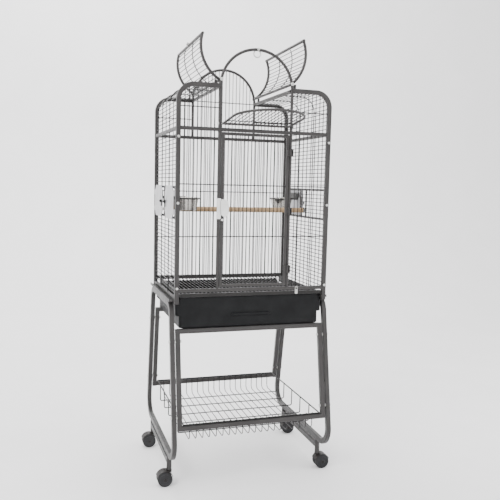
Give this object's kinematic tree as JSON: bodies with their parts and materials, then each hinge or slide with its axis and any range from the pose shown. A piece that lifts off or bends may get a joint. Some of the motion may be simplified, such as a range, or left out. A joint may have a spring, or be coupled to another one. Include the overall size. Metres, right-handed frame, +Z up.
{
  "type": "bird cage on stand",
  "caption": "Wheeled stand carrying a welded wire bird cage with an opening dome roof, swing doors, feeder cups, grate and slide-out tray.",
  "frame": {"origin": "on the floor, under the middle of the cage", "axes": "+Z up, -Y towards the main door, +X to the right of someone facing the door"},
  "size_m": [0.6514, 0.7342, 1.5656],
  "materials": {
    "cage_tube": "satin powder coat",
    "cage_wire": "satin powder coat",
    "stand_tube": "satin powder coat",
    "basket_wire": "satin powder coat",
    "fixings": "zinc plated",
    "latch_steel": "polished stainless",
    "perch_wood": "smooth dowel",
    "tray_plastic": "fine grain moulded",
    "zinc_plate": "light grey coat",
    "holder_steel": "dark coat",
    "cup_steel": "stainless",
    "dark_knob": "moulded",
    "caster_plastic": "moulded",
    "caster_wheel": "moulded"
  },
  "bodies": {
    "cage": {"front_frame": "cage_tube", "back_frame": "cage_tube", "front_bars": "cage_wire", "back_bars": "cage_wire", "side_frame_left": "cage_tube", "side_frame_right": "cage_tube", "side_bars_left": "cage_wire", "side_bars_right": "cage_wire", "roof_bars_left": "cage_wire", "roof_bars_right": "cage_wire", "wing_stops": "cage_tube", "dome_pivots": "fixings", "hinge_pins": "cage_tube", "latch_keeper": "latch_steel", "toy_hook": "fixings", "perch": "perch_wood", "perch_fixings": "fixings", "ledges": "cage_tube", "stand_loop_left": "stand_tube", "stand_loop_right": "stand_tube", "stand_foot_left": "stand_tube", "stand_foot_right": "stand_tube", "stand_front_frame": "stand_tube", "stand_back_frame": "stand_tube", "frame_bolts": "fixings", "shelf_basket": "basket_wire"},
    "wing_left": {"wing_frame_left": "cage_tube", "wing_bars_left": "cage_wire", "wing_latch": "fixings"},
    "wing_right": {"wing_frame_right": "cage_tube", "wing_bars_right": "cage_wire"},
    "landing_door": {"landing_door_frame": "cage_tube", "landing_door_bars": "cage_wire"},
    "main_door": {"main_door_frame": "cage_tube", "main_door_bars": "cage_wire", "latch_post": "latch_steel"},
    "paddle": {"latch_paddle": "latch_steel"},
    "grate": {"grate": "cage_tube"},
    "grate_clip": {"grate_clip": "fixings"},
    "tray": {"tray": "tray_plastic"},
    "feeder_left_front": {"feeder_door_left_front": "zinc_plate", "cup_holder_left_front": "holder_steel"},
    "cup_left_front": {"cup_left_front": "cup_steel"},
    "feeder_latch_left_front": {"feeder_latch_left_front": "dark_knob"},
    "feeder_left_back": {"feeder_door_left_back": "zinc_plate", "cup_holder_left_back": "holder_steel"},
    "cup_left_back": {"cup_left_back": "cup_steel"},
    "feeder_latch_left_back": {"feeder_latch_left_back": "dark_knob"},
    "feeder_right_back": {"feeder_door_right_back": "zinc_plate", "cup_holder_right_back": "holder_steel"},
    "cup_right_back": {"cup_right_back": "cup_steel"},
    "feeder_latch_right_back": {"feeder_latch_right_back": "dark_knob"},
    "caster_front_left": {"caster_body_front_left": "caster_plastic"},
    "wheels_front_left": {"caster_wheels_front_left": "caster_wheel"},
    "caster_front_right": {"caster_body_front_right": "caster_plastic"},
    "wheels_front_right": {"caster_wheels_front_right": "caster_wheel"},
    "caster_back_left": {"caster_body_back_left": "caster_plastic"},
    "wheels_back_left": {"caster_wheels_back_left": "caster_wheel"},
    "caster_back_right": {"caster_body_back_right": "caster_plastic"},
    "wheels_back_right": {"caster_wheels_back_right": "caster_wheel"}
  },
  "joints": [
    {"name": "wing_left_hinge", "type": "hinge", "parent": "cage", "child": "wing_left", "pos_m": [-0.1261, 0, 1.407], "axis": [0, -1, 0], "range_deg": [-72, 0]},
    {"name": "wing_right_hinge", "type": "hinge", "parent": "cage", "child": "wing_right", "pos_m": [0.1261, 0, 1.407], "axis": [0, 1, 0], "range_deg": [-65, 0]},
    {"name": "landing_hinge", "type": "hinge", "parent": "cage", "child": "landing_door", "pos_m": [0, -0.212, 1.261], "axis": [1, 0, 0], "range_deg": [-83.5, 0]},
    {"name": "main_door_hinge", "type": "hinge", "parent": "cage", "child": "main_door", "pos_m": [0.1245, -0.223, 0.968], "axis": [0, 0, 1], "range_deg": [0, 110]},
    {"name": "latch_paddle_swing", "type": "hinge", "parent": "main_door", "child": "paddle", "pos_m": [-0.109, -0.2217, 0.993], "axis": [0, 1, 0], "range_deg": [-75, 0]},
    {"name": "grate_slide", "type": "slide", "parent": "cage", "child": "grate", "axis": [0, -1, 0], "range_m": [0, 0.36]},
    {"name": "grate_clip_turn", "type": "hinge", "parent": "cage", "child": "grate_clip", "pos_m": [0.162, -0.21915, 0.695], "axis": [0, 1, 0], "range_deg": [0, 90]},
    {"name": "tray_slide", "type": "slide", "parent": "cage", "child": "tray", "axis": [0, 1, 0], "range_m": [-0.38, 0]},
    {"name": "feeder_door_left_front_hinge", "type": "hinge", "parent": "cage", "child": "feeder_left_front", "pos_m": [-0.276, -0.197, 0.9925], "axis": [0, 0, 1], "range_deg": [0, 100]},
    {"name": "cup_left_front_lift", "type": "slide", "parent": "feeder_left_front", "child": "cup_left_front", "axis": [0, 0, 1], "range_m": [0, 0.05]},
    {"name": "feeder_latch_left_front_turn", "type": "hinge", "parent": "feeder_left_front", "child": "feeder_latch_left_front", "pos_m": [-0.2798, -0.037, 0.989], "axis": [1, 0, 0], "range_deg": [0, 90]},
    {"name": "feeder_door_left_back_hinge", "type": "hinge", "parent": "cage", "child": "feeder_left_back", "pos_m": [-0.276, 0.197, 0.9925], "axis": [0, 0, -1], "range_deg": [0, 100]},
    {"name": "cup_left_back_lift", "type": "slide", "parent": "feeder_left_back", "child": "cup_left_back", "axis": [0, 0, 1], "range_m": [0, 0.05]},
    {"name": "feeder_latch_left_back_turn", "type": "hinge", "parent": "feeder_left_back", "child": "feeder_latch_left_back", "pos_m": [-0.2798, 0.037, 0.989], "axis": [1, 0, 0], "range_deg": [-90, 0]},
    {"name": "feeder_door_right_back_hinge", "type": "hinge", "parent": "cage", "child": "feeder_right_back", "pos_m": [0.276, 0.197, 0.9925], "axis": [0, 0, 1], "range_deg": [0, 100]},
    {"name": "cup_right_back_lift", "type": "slide", "parent": "feeder_right_back", "child": "cup_right_back", "axis": [0, 0, 1], "range_m": [0, 0.05]},
    {"name": "feeder_latch_right_back_turn", "type": "hinge", "parent": "feeder_right_back", "child": "feeder_latch_right_back", "pos_m": [0.2798, 0.037, 0.989], "axis": [1, 0, 0], "range_deg": [0, 90]},
    {"name": "caster_front_left_swivel", "type": "hinge", "parent": "cage", "child": "caster_front_left", "pos_m": [-0.2826, -0.178, 0.058], "axis": [0, 0, 1], "continuous": true},
    {"name": "caster_front_left_roll", "type": "hinge", "parent": "caster_front_left", "child": "wheels_front_left", "pos_m": [-0.2981, -0.178, 0.026], "axis": [0, 1, 0], "continuous": true},
    {"name": "caster_front_right_swivel", "type": "hinge", "parent": "cage", "child": "caster_front_right", "pos_m": [0.2826, -0.178, 0.058], "axis": [0, 0, 1], "continuous": true},
    {"name": "caster_front_right_roll", "type": "hinge", "parent": "caster_front_right", "child": "wheels_front_right", "pos_m": [0.2981, -0.178, 0.026], "axis": [0, 1, 0], "continuous": true},
    {"name": "caster_back_left_swivel", "type": "hinge", "parent": "cage", "child": "caster_back_left", "pos_m": [-0.2826, 0.178, 0.058], "axis": [0, 0, 1], "continuous": true},
    {"name": "caster_back_left_roll", "type": "hinge", "parent": "caster_back_left", "child": "wheels_back_left", "pos_m": [-0.2981, 0.178, 0.026], "axis": [0, 1, 0], "continuous": true},
    {"name": "caster_back_right_swivel", "type": "hinge", "parent": "cage", "child": "caster_back_right", "pos_m": [0.2826, 0.178, 0.058], "axis": [0, 0, 1], "continuous": true},
    {"name": "caster_back_right_roll", "type": "hinge", "parent": "caster_back_right", "child": "wheels_back_right", "pos_m": [0.2981, 0.178, 0.026], "axis": [0, 1, 0], "continuous": true}
  ]
}
